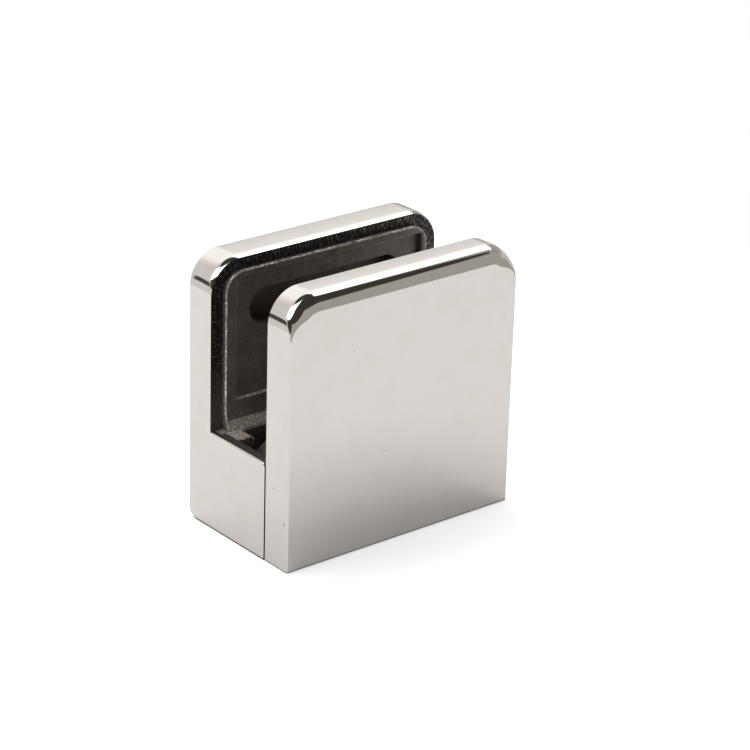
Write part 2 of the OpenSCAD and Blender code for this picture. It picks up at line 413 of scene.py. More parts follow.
def seat_block(z0, foot_r, face_y, back_y):
    """Raised pad seat whose rim is rounded, drawn as rings that shrink towards its face."""
    toward = 1 if face_y > back_y else -1
    levels = [(0, back_y)]
    levels += [(inset, face_y - toward * drop) for inset, drop in rounding(SEAT_RIM_R, SEAT_RIM_R, RIM_STEPS)]
    rings = []
    for inset, y in levels:
        foot_z = z0 + inset if foot_r else z0
        outline = rounded_box_outline(SEAT_W / 2 - inset, foot_z, SEAT_TOP_Z - inset,
                                      SEAT_CORNER_R - inset, max(foot_r - inset, 0))
        rings.append([(x, y, z) for x, z in outline])
    return loft("seat", rings)


def recess_cuts(face_y, inward):
    """The shallow recess of a pad seat, which deepens towards +X, and the lead-in round it."""
    left, right = -SEAT_W / 2 + RECESS_LEFT, SEAT_W / 2 - RECESS_RIGHT
    low, high = LEDGE_TOP_Z + RECESS_FOOT, SEAT_TOP_Z - RECESS_TOP
    outline = [(left, -OVERCUT), (right, -OVERCUT), (right, RECESS_DEEP), (left, RECESS_SHALLOW)]
    recess = prism("recess", outline, lambda a, b, c: (a, face_y + inward * b, low + c), high - low)
    mouth = []
    for grow, y in ((LEAD + OVERCUT, face_y - inward * OVERCUT), (0, face_y + inward * LEAD)):
        mouth.append([(left - grow, y, low - grow), (right + grow, y, low - grow),
                      (right + grow, y, high + grow), (left - grow, y, high + grow)])
    return [recess, bridge("lead", *mouth)]


def obround(reach, z, radius):
    """Slot outline (x, z) whose ends are half-circles about (+-reach, z)."""
    return arc((reach, z), radius, -90, 90, 24) + arc((-reach, z), radius, 90, 270, 24)


def slot_cuts(face_y, inward):
    """The slot of a pad seat and its lead-in."""
    reach = (SLOT_L - SLOT_W) / 2
    slot_z = TOP_Z - SLOT_DROP
    start = face_y - inward * OVERCUT
    outline = obround(reach, slot_z, SLOT_W / 2)
    slot = prism("slot", outline, lambda a, b, c: (a, start + inward * c, b), SLOT_DEPTH + OVERCUT)
    slope = SLOT_LEAD / SLOT_LEAD_DEPTH
    wide = obround(reach, slot_z, SLOT_W / 2 + SLOT_LEAD + slope * OVERCUT)
    lead_end = face_y + inward * SLOT_LEAD_DEPTH
    lead = bridge("slot_lead", [(x, start, z) for x, z in wide], [(x, lead_end, z) for x, z in outline])
    return [slot, lead]


def pad_cuts(face_y, inward):
    """Cutters of a pad seat at face_y whose metal lies the way inward points along Y."""
    return recess_cuts(face_y, inward) + slot_cuts(face_y, inward)


# ---------- front cover ----------

def build_cover():
    cover = new_piece("cover_casting", plate("cover_casting", COVER_FOOT_Z, COVER_FACE_Y, COVER_BACK_Y,
                                             (SIDE_EDGE_R, COVER_EDGE_R, FACE_DROP_R), (0, 0)))
    seat_face = COVER_BACK_Y + SEAT_RISE
    root_y = COVER_BACK_Y - OVERCUT
    end_y = COVER_BACK_Y + BOSS_L
    rim = arc((end_y - BOSS_EDGE_R, BOSS_R - BOSS_EDGE_R), BOSS_EDGE_R, 90, 0, 5)
    boss_section = [(root_y, 0), (root_y, BOSS_R)] + rim + [(end_y, 0)]
    bore_section = [(BORE_END_Y, 0), (BORE_END_Y, BORE_R), (end_y + OVERCUT, BORE_R), (end_y + OVERCUT, 0)]
    parts = [seat_block(BASE_H + SEAT_FOOT, SEAT_FOOT_R, seat_face, root_y)]
    cuts = pad_cuts(seat_face, -1)
    for x in (-SCREW_X, SCREW_X):
        parts.append(lathe_y("boss", x, SCREW_Z, boss_section, 64))
        cuts.append(lathe_y("bore", x, SCREW_Z, bore_section, 48))
    combine(cover, parts, "UNION")
    combine(cover, cuts, "DIFFERENCE")
    return cover


# ---------- rear body ----------

def web_outline():
    """Section (y, z) through the web, its lip and the concave ledge above it."""
    out = SEAT_Y - WEB_Y
    ledge_r = (LEDGE_H ** 2 + out ** 2) / (2 * out)
    ledge_y = SEAT_Y - ledge_r
    lip_y = WEB_Y + LIP_R
    drop = math.sqrt((ledge_r + LIP_R) ** 2 - (lip_y - ledge_y) ** 2)
    lip_z = LEDGE_TOP_Z - drop
    meet = math.degrees(math.atan2(drop, lip_y - ledge_y))
    lip = arc((lip_y, lip_z), LIP_R, 180, 180 - meet, 8)
    ledge = arc((ledge_y, LEDGE_TOP_Z), ledge_r, -meet, 0, 16)
    back = PLATE_Y + OVERCUT
    return [(back, 0), (WEB_Y, 0)] + lip + ledge[1:] + [(back, LEDGE_TOP_Z)]


def web_block():
    """Web behind the hollow base, cut level with the base's top."""
    lip = [p for p in web_outline()[2:] if p[1] < BASE_H]
    back = PLATE_Y + OVERCUT
    outline = [(back, 0), (WEB_Y, 0)] + lip + [(lip[-1][0] + WEB_STEP, BASE_H), (back, BASE_H)]
    return prism("web", outline, along_x(-HALF_W + WALL_T / 2), 2 * HALF_W - WALL_T)


def ledge_block():
    """Web and ledge under the pad seat, with the seat's rounded rim carried down both ends."""
    outline = web_outline()
    front = [Vector(p) for p in outline[1:-1]]
    back_y = outline[0][0]
    inward = []
    for i in range(len(front)):
        along = (front[min(i + 1, len(front) - 1)] - front[max(i - 1, 0)]).normalized()
        inward.append(Vector((along.y, -along.x)))
    rim = [(SEAT_W / 2 - inset, drop) for inset, drop in rounding(SEAT_RIM_R, SEAT_RIM_R, RIM_STEPS)]
    rings = []
    for x, drop in [(-x, drop) for x, drop in rim] + rim[::-1]:
        curve = [(x, *(p + n * drop)) for p, n in zip(front, inward)]
        rings.append([(x, back_y, 0)] + curve + [(x, back_y, LEDGE_TOP_Z)])
    return loft("ledge", rings)


def end_wall(side):
    """End wall with a rounded nose and a small polished rounding on its top outer edge."""
    outer, inner = side * HALF_W, side * (HALF_W - WALL_T)
    nose = arc((PARTING_Y + WALL_NOSE_R, BASE_H - WALL_NOSE_R), WALL_NOSE_R, 180, 90, 10)
    path = [(PARTING_Y, 0)] + nose + [(PLATE_Y + OVERCUT, BASE_H)]
    normals = [(-1, 0)]
    normals += [((y - PARTING_Y - WALL_NOSE_R) / WALL_NOSE_R, (z - BASE_H + WALL_NOSE_R) / WALL_NOSE_R)
                for y, z in nose]
    normals += [(0, 1)]
    verts = []
    for (y, z), (ny, nz) in zip(path, normals):
        rim_r = WALL_FRONT_R + (WALL_RIM_R - WALL_FRONT_R) * nz
        for inset, drop in rounding(rim_r, rim_r, RIM_STEPS):
            verts.append((outer - side * inset, y - ny * drop, z - nz * drop))
        verts.append((inner, y, z))
    count, row = len(path), RIM_STEPS + 2
    faces = sheet_faces(count, row)
    # close the two sides, the foot and the back
    foot_outer, foot_inner = len(verts), len(verts) + 1
    verts += [(outer, PLATE_Y + OVERCUT, 0), (inner, PLATE_Y + OVERCUT, 0)]
    faces.append([i * row for i in range(count)] + [foot_outer])
    faces.append([i * row + row - 1 for i in range(count)] + [foot_inner])
    faces.append(list(range(row)) + [foot_inner, foot_outer])
    faces.append([(count - 1) * row + k for k in range(row)] + [foot_inner, foot_outer])
    return mesh_from("end_wall", verts, faces)


def lug(side):
    """Bar beside an end wall, flush with its top, with a half-round inner end and a rounded front rim."""
    end_x = HALF_W - WALL_T - LUG_L + LUG_T / 2
    wall_x = HALF_W - WALL_T / 2
    front_y = WEB_Y - LUG_W
    middle = BASE_H - LUG_T / 2
    levels = [(drop, front_y + inset) for inset, drop in rounding(LUG_RIM_R, LUG_RIM_R, 4)]
    levels.append((0, WEB_Y + OVERCUT))
    rings = []
    for inset, y in levels:
        radius = LUG_T / 2 - inset
        outline = [(wall_x, middle - radius), (wall_x, middle + radius)]
        outline += arc((end_x, middle), radius, 90, 270, 16)
        rings.append([(side * x, y, z) for x, z in outline])
    return loft("lug", rings)


def rear_parts():
    """What is united with the rear plate."""
    back = PLATE_Y + OVERCUT
    floor = [(PARTING_Y, 0), (back, 0), (back, FLOOR_T), (PARTING_Y, FLOOR_T)]
    parts = [seat_block(LEDGE_TOP_Z - OVERCUT, 0, SEAT_Y, back), ledge_block(), web_block(),
             prism("floor", floor, along_x(-HALF_W), 2 * HALF_W)]
    for side in (-1, 1):
        parts += [end_wall(side), lug(side)]
    return parts


def rear_cuts():
    """The heel's rounding, the pad seat's recess and slot, the fixing hole and the screw holes."""
    heel = arc((REAR_FACE_Y - HEEL_R, HEEL_R), HEEL_R, -90, 0, 24)
    heel += [(REAR_FACE_Y + OVERCUT, HEEL_R), (REAR_FACE_Y + OVERCUT, -OVERCUT),
             (REAR_FACE_Y - HEEL_R, -OVERCUT)]
    cuts = [prism("heel", heel, along_x(-PAST_SIDES), 2 * PAST_SIDES)]
    cuts += pad_cuts(SEAT_Y, 1)
    cuts.append(prism("fixing", circle((0, FIXING_Y), FIXING_R, 48),
                      lambda a, b, c: (a, b, c - OVERCUT), FLOOR_T + 2 * OVERCUT))
    hole = [(WEB_Y - OVERCUT, 0), (WEB_Y - OVERCUT, SHANK_HOLE_R), (HEAD_SEAT_Y, SHANK_HOLE_R),
            (HEAD_SEAT_Y, COUNTERBORE_R), (REAR_FACE_Y + OVERCUT, COUNTERBORE_R), (REAR_FACE_Y + OVERCUT, 0)]
    cuts += [lathe_y("screw_hole", x, SCREW_Z, hole, 64) for x in (-SCREW_X, SCREW_X)]
    return cuts


def build_rear():
    rear = new_piece("rear_casting", plate("rear_casting", 0, REAR_FACE_Y, PLATE_Y,
                                           (REAR_EDGE_R, REAR_EDGE_R, REAR_EDGE_R), (ROLL_SIDE_R, ROLL_R)))
    combine(rear, rear_parts(), "UNION")
    combine(rear, rear_cuts(), "DIFFERENCE")
    return rear


# ---------- clamp screws ----------

def zigzag(value):
    """1 at whole numbers and 0 halfway between them."""
    return abs((value % 1) * 2 - 1)


def screw_radius(y, turn):
    """Radius of the screw at a distance along it (0 under the head) and a turn from 0 to 1 round it."""
    if y < 0:
        neck = smoothstep(NECK_FROM, NECK_TO, y)
        groove = THREAD_DEPTH * zigzag(y / THREAD_PITCH + turn) * (1 - neck) + NECK_DEPTH * neck
        chamfered = SHANK_R - max(-SCREW_L + TIP_CHAMFER - y, 0)
        return min(SHANK_R - groove, chamfered)
    chamfered = HEAD_R - max(y - HEAD_H + SCREW_CHAMFER, 0)
    knurled = smoothstep(KNURL_FOOT, KNURL_FULL, y)
    knurled *= 1 - smoothstep(HEAD_H - KNURL_FADE, HEAD_H - KNURL_END, y)
    return chamfered - KNURL_DEPTH * knurled * zigzag(turn * KNURLS)


def screw_stations():
    """Distances along the screw at which its mesh has a ring of points."""
    thread = [-SCREW_L + SCREW_L * i / THREAD_STEPS for i in range(THREAD_STEPS)]
    head_foot = [0, 0.25 * MM, KNURL_FOOT, 0.75 * MM, KNURL_FULL]
    head_top = [HEAD_H - d for d in (KNURL_FADE, 0.95 * MM, KNURL_END, SCREW_CHAMFER, 0.25 * MM, 0)]
    return thread + [JUST_UNDER_HEAD] + head_foot + head_top


def socket_cuts(x):
    """Hexagon socket, the lead-in at its mouth and the drill point at its foot."""
    top = HEAD_SEAT_Y + HEAD_H
    foot = top - SOCKET_DEPTH
    corners = [math.radians(60 * i) for i in range(6)]
    hexagon = [(SOCKET_R * math.sin(t), SOCKET_R * math.cos(t)) for t in corners]
    socket = prism("socket", hexagon, lambda a, b, c: (x + a, foot + c, SCREW_Z + b), SOCKET_DEPTH + OVERCUT)
    mouth_r = SOCKET_R + SOCKET_LEAD_OUT
    lead = [(top - SOCKET_LEAD_DEPTH, 0), (top - SOCKET_LEAD_DEPTH, SOCKET_R - SOCKET_LEAD),
            (top + SOCKET_LEAD_RISE, mouth_r), (top + OVERCUT, mouth_r), (top + OVERCUT, 0)]
    drill = [(foot - DRILL_POINT, 0), (foot + TOUCH, DRILL_R), (foot + DRILL_REACH, DRILL_R),
             (foot + DRILL_REACH, 0)]
    return [socket, lathe_y("lead", x, SCREW_Z, lead, 48), lathe_y("drill", x, SCREW_Z, drill, 48)]


def build_screw(name, x):
    """Socket-head screw with a rolled thread, a knurled head and a hexagon socket."""
    around = 4 * KNURLS
    rings = []
    for y in screw_stations():
        ring = []
        for i in range(around):
            turn = i / around
            radius = screw_radius(y, turn)
            angle = 2 * math.pi * turn
            ring.append((x + radius * math.sin(angle), HEAD_SEAT_Y + y, SCREW_Z + radius * math.cos(angle)))
        rings.append(ring)
    screw = new_piece(name, loft(name, rings))
    combine(screw, socket_cuts(x), "DIFFERENCE")
    return screw


# ---------- shader helpers ----------

class Tree:
    """A node tree that is written as a chain of short calls."""

    def __init__(self, owner):
        owner.use_nodes = True
        self.owner = owner
        self.tree = owner.node_tree
        self.tree.nodes.clear()

    def add(self, kind, inputs=(), **settings):
        """A node of that kind. inputs maps its socket names or numbers to values or to other sockets."""
        node = self.tree.nodes.new(kind)
        for key, value in settings.items():
            setattr(node, key, value)
        for key, value in dict(inputs).items():
            if isinstance(value, bpy.types.NodeSocket):
                self.tree.links.new(value, node.inputs[key])
            else:
                node.inputs[key].default_value = value
        return node

    def math(self, operation, a, b=0.0, c=0.0):
        return self.add("ShaderNodeMath", {0: a, 1: b, 2: c}, operation=operation).outputs[0]

    def vector(self, operation, a, b=(0, 0, 0), c=(0, 0, 0)):
        return self.add("ShaderNodeVectorMath", {0: a, 1: b, 2: c}, operation=operation).outputs[0]

    def split(self, vector):
        """The X, Y and Z sockets of a vector."""
        return self.add("ShaderNodeSeparateXYZ", {0: vector}).outputs

    def fade(self, value, low, high, out_low=0.0, out_high=1.0):
        """out_low where value is below low, out_high above high, smooth between."""
        ramp = self.add("ShaderNodeMapRange", {"Value": value, "From Min": low, "From Max": high,
                                               "To Min": out_low, "To Max": out_high},
                        interpolation_type="SMOOTHSTEP")
        return ramp.outputs["Result"]

    def window(self, value, low, high, soft):
        """1 between low and high, 0 outside, with edges that fade over soft to either side."""
        return self.math("MULTIPLY", self.fade(value, low - soft, low + soft),
                         self.fade(value, high - soft, high + soft, 1.0, 0.0))

    def mix(self, factor, a, b):
        """Colour a where factor is 0 and b where it is 1. Both may be tuples or sockets."""
        node = self.add("ShaderNodeMix", {"Factor": factor}, data_type="RGBA")
        for socket, value in zip((node.inputs[6], node.inputs[7]), (a, b)):
            if isinstance(value, bpy.types.NodeSocket):
                self.tree.links.new(value, socket)
            else:
                socket.default_value = (*value, 1)
        return node.outputs[2]

    def grid(self, scale=(1, 1, 1)):
        """Millimetre coordinates of the piece, stretched by scale."""
        place = self.add("ShaderNodeTexCoord").outputs["Object"]
        return self.vector("MULTIPLY", place, tuple(s / MM for s in scale))

    def noise(self, where, scale, detail=3.0, rough=0.55):
        return self.add("ShaderNodeTexNoise", {"Vector": where, "Scale": scale, "Detail": detail,
                                               "Roughness": rough}).outputs["Fac"]


# ---------- studio ----------

# What stands round the clamp: (azimuth from, to, how soft, elevation from, to, how soft, how far the
# elevations rise per degree of azimuth, colour). Azimuth 0 is where the cover faces, 90 is +X and -90 is
# -X. A later row covers an earlier one.
BACKDROP = (0.82, 0.795, 0.765)
GLOW = (1.3, 1.265, 1.23)
SOFTBOX = (3.0, 3.0, 3.0)
GREY = (0.45, 0.43, 0.395)
SURROUNDINGS = (
    ("upper backdrop", -181, 181, 1, 30, 91, 8, 0, (0.8, 0.74, 0.695)),
    ("rear glow", 100, 200, 6, 22.5, 70, 9, 0, GLOW),
    ("rear glow, other half", -200, -163, 15, 22.5, 70, 9, 0, GLOW),
    ("rear table", 100, 176, 5, -91, 9, 5, 0, (0.5, 0.485, 0.46)),
    ("right softbox", 66, 136, 6, 40, 60, 5, 0, SOFTBOX),
    ("right wall", 66, 124, 3, 10, 40, 2, 0, (0.42, 0.405, 0.37)),
    ("ceiling", -181, 181, 1, 60, 91, 3, 0, (0.06, 0.06, 0.055)),
    ("dark room", -116, 73, 2, 12, 80, 1.2, 0, (0.055, 0.047, 0.04)),
    ("grey wall", 30, 124, 4, -91, 19, 1.5, 0, (0.46, 0.44, 0.405)),
    ("pale wall", 70, 124, 8, -91, 8, 8, 0, (0.84, 0.82, 0.78)),
    ("left shade", -127, -40, 3, 3, 22, 2, 0, (0.06, 0.058, 0.055)),
    ("grey table", -46, 42, 1.5, -91, 24, 1.5, 0, GREY),
    ("grey shelf", -46, 8, 1.5, -91, 33.5, 1.5, -0.17, GREY),
    ("grey awning", 40, 71, 1.2, -91, 25.5, 1.2, 0.915, GREY),
    ("left softbox", -133, -62, 6, 14.9, 49.9, 1.5, 0.54, SOFTBOX),
    ("stand", -140.5, -133.5, 0.8, -3, 6, 1, 0, (0.08, 0.08, 0.075)),
)


def build_world():
    """The surroundings are painted on the world by direction, for the mirrors. The camera sees white."""
    world = bpy.data.worlds.new("studio")
    bpy.context.scene.world = world
    tree = Tree(world)
    x, y, z = tree.split(tree.add("ShaderNodeTexCoord").outputs["Generated"])
    azimuth = tree.math("DEGREES", tree.math("ARCTAN2", x, tree.math("MULTIPLY", y, -1.0)))
    elevation = tree.math("DEGREES", tree.math("ARCSINE", z))
    colour = BACKDROP
    for _, az0, az1, az_soft, el0, el1, el_soft, rise, paint in SURROUNDINGS:
        level = tree.math("MULTIPLY_ADD", azimuth, -rise, tree.math("ADD", elevation, rise * az0))
        mask = tree.math("MULTIPLY", tree.window(azimuth, az0, az1, az_soft),
                         tree.window(level, el0, el1, el_soft))
        colour = tree.mix(mask, colour, paint)
    ray = tree.add("ShaderNodeLightPath").outputs
    colour = tree.mix(ray["Is Camera Ray"], colour, (1, 1, 1))
    light = tree.add("ShaderNodeBackground", {"Color": colour})
    tree.add("ShaderNodeOutputWorld", {0: light.outputs[0]})


# The sheet under the clamp, with what its own glow adds for the camera and in the mirrors
FLOOR_R = 170 * MM
FLOOR_Z = -0.02 * MM
PAPER = (0.72, 0.715, 0.705, 1)
FLOOR_FILL = 0.55
FLOOR_FILL_MIRRORED = 0.085


def build_floor():
    """A white sheet under the clamp. It keeps the clamp's shadow, and its edge is lost in the white
    backdrop."""
    rim = circle((0, 0), FLOOR_R, 120)
    floor = new_piece("floor", mesh_from("floor", [(x, y, FLOOR_Z) for x, y in rim], [list(range(len(rim)))]))
    tree = Tree(bpy.data.materials.new("paper"))
    diffuse = tree.add("ShaderNodeBsdfDiffuse", {"Color": PAPER})
    ray = tree.add("ShaderNodeLightPath").outputs
    mirrored = tree.math("MAXIMUM", ray["Is Glossy Ray"], ray["Is Transmission Ray"])
    fill = tree.math("MULTIPLY", ray["Is Camera Ray"], FLOOR_FILL)
    fill = tree.math("MULTIPLY_ADD", mirrored, FLOOR_FILL_MIRRORED, fill)
    fill = tree.add("ShaderNodeEmission", {"Color": (1, 1, 1, 1), "Strength": fill})
    both = tree.add("ShaderNodeAddShader", {0: diffuse.outputs[0], 1: fill.outputs[0]})
    tree.add("ShaderNodeOutputMaterial", {0: both.outputs[0]})
    floor.data.materials.append(tree.owner)


# Soft lamps: name, azimuth, elevation, distance, size, watts
LAMPS = (
    ("key", -168, 66, 0.9, 0.5, 4.05),
    ("fill", 62, 55, 0.9, 0.55, 0.85),
)


def build_lamps():
    """Large soft lamps that stay out of the mirrors, which show the world."""
    for name, azimuth, elevation, distance, size, watts in LAMPS:
        lamp = bpy.data.lights.new(name, "AREA")
        lamp.shape = "SQUARE"
        lamp.size = size
        lamp.energy = watts
        holder = bpy.data.objects.new(name, lamp)
        bpy.context.collection.objects.link(holder)
        turn, tilt = math.radians(azimuth), math.radians(elevation)
        toward = Vector((math.sin(turn) * math.cos(tilt), -math.cos(turn) * math.cos(tilt), math.sin(tilt)))
        holder.location = toward * distance
        holder.rotation_euler = toward.to_track_quat("Z", "Y").to_euler()
        holder.visible_glossy = False


# ---------- materials ----------

POLISH, POLISH_SMUDGED = (0.712, 0.686, 0.664), (0.697, 0.667, 0.64)
# grime of the pits, which is also the painted contact shadow along the foot
GRIME_AND_CONTACT_SHADE = (0.12, 0.11, 0.1)
SKIN, SKIN_BLOTCH, SKIN_SPECK = (0.44, 0.388, 0.36), (0.32, 0.28, 0.26), (0.7, 0.67, 0.64)
SKIN_SHADE = (0.1, 0.09, 0.085)
# painted shade for the hollow base and the slots
PAINTED_RECESS_SHADE = (0.05, 0.045, 0.042)
GROUND_DARK, GROUND_LOW, GROUND_BRIGHT = (0.04, 0.036, 0.033), (0.19, 0.162, 0.152), (0.27, 0.252, 0.236)
# the painted-lit copy of the casting skin, and its painted glints
LEDGE_LIT_SKIN, LEDGE_PAINTED_GLINT = (0.56, 0.5, 0.445), (1.0, 0.97, 0.92)
# casting skin of the edges and their painted highlight specks
EDGE_SKIN, EDGE_PAINTED_HIGHLIGHT = (0.2, 0.182, 0.17), (1.0, 0.97, 0.93)
SCREW_BRIGHT, SCREW_DULL = (0.58, 0.56, 0.54), (0.43, 0.41, 0.39)

# Casting pits left in the polish: place on the clamp and reach along X, Y and Z, in millimetres
PITS = (
    ((-26.0, -14.0, 9.4), (0.2, 0.17, 0.5)),
    ((-26.0, -10.9, 15.3), (0.2, 0.12, 0.3)),
    ((-26.0, -14.4, 16.6), (0.2, 0.16, 0.12)),
    ((-4.3, -15.0, 18.4), (0.16, 0.2, 0.14)),
    ((-11.9, -15.0, 39.7), (0.12, 0.2, 0.12)),
    ((17.5, 15.0, 33.0), (0.2, 0.2, 0.14)),
    ((-9.0, 15.0, 24.5), (0.12, 0.2, 0.2)),
    ((26.0, -1.5, 8.0), (0.2, 0.2, 0.15)),
    ((26.0, 12.0, 30.0), (0.2, 0.12, 0.24)),
)
PIT_SHAKE = 0.3


def steel(tree, colour, roughness, height, bump_distance):
    """Finishes a metal material: colour and roughness may be sockets, height drives its bump."""
    bump = tree.add("ShaderNodeBump", {"Height": height, "Strength": 1.0, "Distance": bump_distance})
    shader = tree.add("ShaderNodeBsdfPrincipled", {"Metallic": 1.0, "Base Color": colour,
                                                   "Roughness": roughness, "Normal": bump.outputs[0]})
    tree.add("ShaderNodeOutputMaterial", {0: shader.outputs[0]})
    return tree.owner


def pit_mask(tree, where):
    """1 in the middle of each pit, 0 outside them. Noise shakes their outlines."""
    rough_edge = tree.add("ShaderNodeTexNoise", {"Vector": where, "Scale": 4.0, "Detail": 2.0})
    shaken = tree.vector("MULTIPLY_ADD", rough_edge.outputs["Color"], (PIT_SHAKE,) * 3, where)
    shaken = tree.vector("SUBTRACT", shaken, (PIT_SHAKE / 2,) * 3)
    mask = 0.0
    for centre, reach in PITS:
        away = tree.vector("DIVIDE", tree.vector("SUBTRACT", shaken, centre), reach)
        away = tree.add("ShaderNodeVectorMath", {0: away}, operation="LENGTH").outputs["Value"]
        mask = tree.math("MAXIMUM", tree.fade(away, 0.4, 1.0, 1.0, 0.0), mask)
    return mask


def polished_steel():
    """Mirror polish with a faint swell, hairlines, smudges and a few casting pits."""
    tree = Tree(bpy.data.materials.new("polished_steel"))
    where = tree.grid()
    swell = tree.noise(where, scale=0.16, detail=1.0)
    hairs = tree.noise(tree.grid((0.15, 1.0, 1.6)), scale=5.0, detail=2.0)
    smudge = tree.fade(tree.noise(where, scale=0.22), 0.42, 0.72)
    pit = pit_mask(tree, where)
    hair_height, swell_height, pit_depth = 0.0016, 0.07, 0.12
    height = tree.math("MULTIPLY_ADD", hairs, hair_height, tree.math("MULTIPLY", swell, swell_height))
    height = tree.math("SUBTRACT", height, tree.math("MULTIPLY", pit, pit_depth))
    colour = tree.mix(smudge, POLISH, POLISH_SMUDGED)
    # grime fills the pits; along the last half millimetre above the floor the same dark colour is a painted
    # contact shadow
    foot = tree.fade(tree.split(where)[2], 0.2, 0.5, 0.85, 0.0)
    colour = tree.mix(tree.math("MAXIMUM", pit, foot), colour, GRIME_AND_CONTACT_SHADE)
    roughness = tree.math("MULTIPLY_ADD", smudge, 0.03, 0.025)
    roughness = tree.math("MULTIPLY_ADD", pit, 0.35, roughness)
    return steel(tree, colour, roughness, height, 0.1 * MM)


def cast_steel():
    """Shot-blasted casting skin: matte grey-brown grain with darker blotches. It darkens towards the
    top, and painted shade darkens it in the slots and down in the hollow base."""
    tree = Tree(bpy.data.materials.new("cast_steel"))
    where = tree.grid()
    grain = tree.noise(where, scale=2.6, detail=4.0, rough=0.65)
    blotch = tree.fade(tree.noise(where, scale=0.35), 0.35, 0.7)
    speck = tree.fade(tree.noise(where, scale=5.5, detail=2.0, rough=0.7), 0.6, 0.74)
    colour = tree.mix(blotch, SKIN, SKIN_BLOTCH)
    colour = tree.mix(tree.fade(grain, 0.35, 0.7), tree.mix(0.35, colour, SKIN_SHADE), colour)
    colour = tree.mix(tree.math("MULTIPLY", speck, 0.5), colour, SKIN_SPECK)
    _, y, z = tree.split(where)
    shade = tree.fade(z, LEDGE_TOP_Z / MM + 2, TOP_Z / MM, 0.0, 0.5)
    # painted shade down in the hollow base and deep in the slots
    in_base = tree.fade(z, (BASE_H - LUG_T) / MM - 1.5, BASE_H / MM + 0.5, 0.75, 0.0)
    slot_mouth = SLOT_MOUTH_Y / MM
    in_slot = tree.fade(tree.math("ABSOLUTE", y), slot_mouth, slot_mouth + 0.5, 0.0, 0.45)
    colour = tree.mix(shade, colour, SKIN_SHADE)
    colour = tree.mix(tree.math("MAXIMUM", in_base, in_slot), colour, PAINTED_RECESS_SHADE)
    roughness = tree.math("MULTIPLY_ADD", grain, 0.3, 0.42)
    return steel(tree, colour, roughness, grain, 0.14 * MM)


def ground_steel():
    """Rim round the pad seats, roughed by short strokes of a grinding wheel across the plate's edge."""
    tree = Tree(bpy.data.materials.new("ground_steel"))
    x, _, z = tree.split(tree.grid())
    from_side = tree.math("SUBTRACT", HALF_W / MM, tree.math("ABSOLUTE", x))
    from_top = tree.math("SUBTRACT", TOP_Z / MM, z)
    at_side = tree.fade(tree.math("SUBTRACT", from_top, from_side), -1.0, 1.0)
    at_top = tree.math("SUBTRACT", 1.0, at_side)
    upright = tree.noise(tree.grid((1.0, 1.0, 0.35)), scale=3.0, detail=4.0, rough=0.7)
    level = tree.noise(tree.grid((0.35, 1.0, 1.0)), scale=3.0, detail=4.0, rough=0.7)
    strokes = tree.math("ADD", tree.math("MULTIPLY", at_side, level), tree.math("MULTIPLY", at_top, upright))
    low_down = tree.fade(z, BASE_H / MM, BASE_H / MM + 16, 1.0, 0.0)
    dark = tree.mix(low_down, GROUND_DARK, GROUND_LOW)
    colour = tree.mix(tree.fade(strokes, 0.5, 0.66), dark, GROUND_BRIGHT)
    roughness = tree.fade(strokes, 0.4, 0.7, 0.5, 0.3)
    return steel(tree, colour, roughness, strokes, 0.16 * MM)


def lit_ledge_steel():
    """Coarser casting skin of the ledge and the lugs, painted lighter where it looks up, as lit, and strewn
    with painted glints.
    """
    tree = Tree(bpy.data.materials.new("lit_ledge_steel"))
    where = tree.grid()
    grain = tree.noise(where, scale=2.2, detail=4.0, rough=0.7)
    painted_glint = tree.fade(tree.noise(where, scale=3.0, detail=2.0, rough=0.6), 0.5, 0.62)
    colour = tree.mix(painted_glint, LEDGE_LIT_SKIN, LEDGE_PAINTED_GLINT)
    roughness = tree.math("MULTIPLY_ADD", grain, 0.25, 0.4)
    return steel(tree, colour, roughness, grain, 0.3 * MM)


def edge_highlight_steel():
    """Edge of the pad seats: painted highlight specks on the casting skin, where the edges catch the light.
    """
    tree = Tree(bpy.data.materials.new("edge_highlight_steel"))
    where = tree.grid()
    grain = tree.noise(where, scale=2.8, detail=4.0, rough=0.6)
    specks = tree.fade(tree.noise(where, scale=2.2, detail=5.0, rough=0.75), 0.38, 0.66)
    kept = tree.fade(tree.noise(where, scale=0.35, detail=2.0), 0.3, 0.55, 0.45, 1.0)
    painted_highlight = tree.math("MULTIPLY", specks, kept)
    colour = tree.mix(painted_highlight, EDGE_SKIN, EDGE_PAINTED_HIGHLIGHT)
    roughness = tree.fade(painted_highlight, 0.0, 1.0, 0.5, 0.26)
    return steel(tree, colour, roughness, grain, 0.12 * MM)


def screw_steel():
    """Plain stainless of the screws, with fine turning marks and a little thread wear."""
    tree = Tree(bpy.data.materials.new("bare_screw_steel"))
    turning = tree.noise(tree.grid((0.2, 3.0, 0.2)), scale=4.0)
    blotch = tree.fade(tree.noise(tree.grid(), scale=0.9), 0.35, 0.7)
    colour = tree.mix(blotch, SCREW_BRIGHT, SCREW_DULL)
    roughness = tree.math("MULTIPLY_ADD", turning, 0.22, 0.18)
    return steel(tree, colour, roughness, turning, 0.02 * MM)


# ---------- finishes ----------

POLISHED, CAST, GROUND, EDGE_HIGHLIGHT, LEDGE = range(5)


def inside_by(x, z, half_w, top_z, corner_r):
    """How far a point lies inside a plate's or a pad seat's sides and top, below 0 outside them."""
    dx, dz = abs(x) - half_w + corner_r, z - top_z + corner_r
    if dx > 0 and dz > 0:
        return corner_r - math.hypot(dx, dz)
    return min(half_w - abs(x), top_z - z)


def ledge_finish(c, n):
    """Finish of the ledge: painted highlight specks where it rounds off at its ends, and the painted-lit skin
    where it looks up and on its lip.
    """
    if 0.1 < abs(n.x) < 0.98:
        return EDGE_HIGHLIGHT
    return LEDGE if n.z > 0.3 or c.z < BASE_H + LEDGE_LIP else CAST


